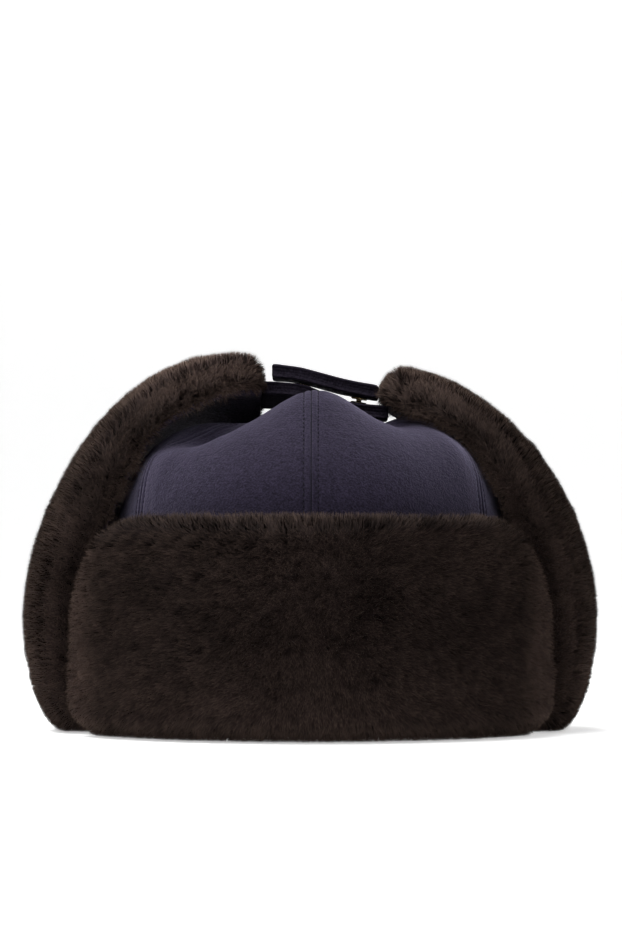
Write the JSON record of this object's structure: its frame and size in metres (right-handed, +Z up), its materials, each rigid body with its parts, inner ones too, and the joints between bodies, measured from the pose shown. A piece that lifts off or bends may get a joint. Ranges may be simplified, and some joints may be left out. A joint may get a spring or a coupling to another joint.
{
  "type": "ushanka hat",
  "caption": "Winter hat with a seamed wool crown and fur-faced front, ear and neck flaps folded up, the ear flaps joined over the top by tabs with press studs.",
  "frame": {"origin": "middle of the footprint, on the surface that the folds of fur stand on", "axes": "+Z up, -Y to the front of the hat, +X to the right of someone facing it"},
  "size_m": [0.2588, 0.2537, 0.1708],
  "materials": {
    "wool": "navy melton wool with a short matt nap",
    "flap_wool": "navy melton wool, the inner side of the folded flaps",
    "tab_wool": "doubled navy melton wool with a stitched edge",
    "fur": "dense dark brown sheared fur with paler tips",
    "brass": "polished press studs"
  },
  "bodies": {
    "root": {"crown_gore_front_right": "wool", "crown_gore_side_right": "wool", "crown_gore_rear_right": "wool", "crown_gore_rear_left": "wool", "crown_gore_side_left": "wool", "crown_gore_front_left": "wool", "front_flap_cloth": "flap_wool", "front_flap_fur": "fur", "ear_flap_left_cloth": "flap_wool", "ear_flap_left_fur": "fur", "ear_flap_right_cloth": "flap_wool", "ear_flap_right_fur": "fur", "neck_flap_cloth": "flap_wool", "neck_flap_fur": "fur", "tab_lower": "tab_wool", "tab_upper": "tab_wool", "press_stud_ball_left": "brass", "press_stud_socket_left": "brass", "press_stud_ball_right": "brass", "press_stud_socket_right": "brass"}
  },
  "joints": []
}
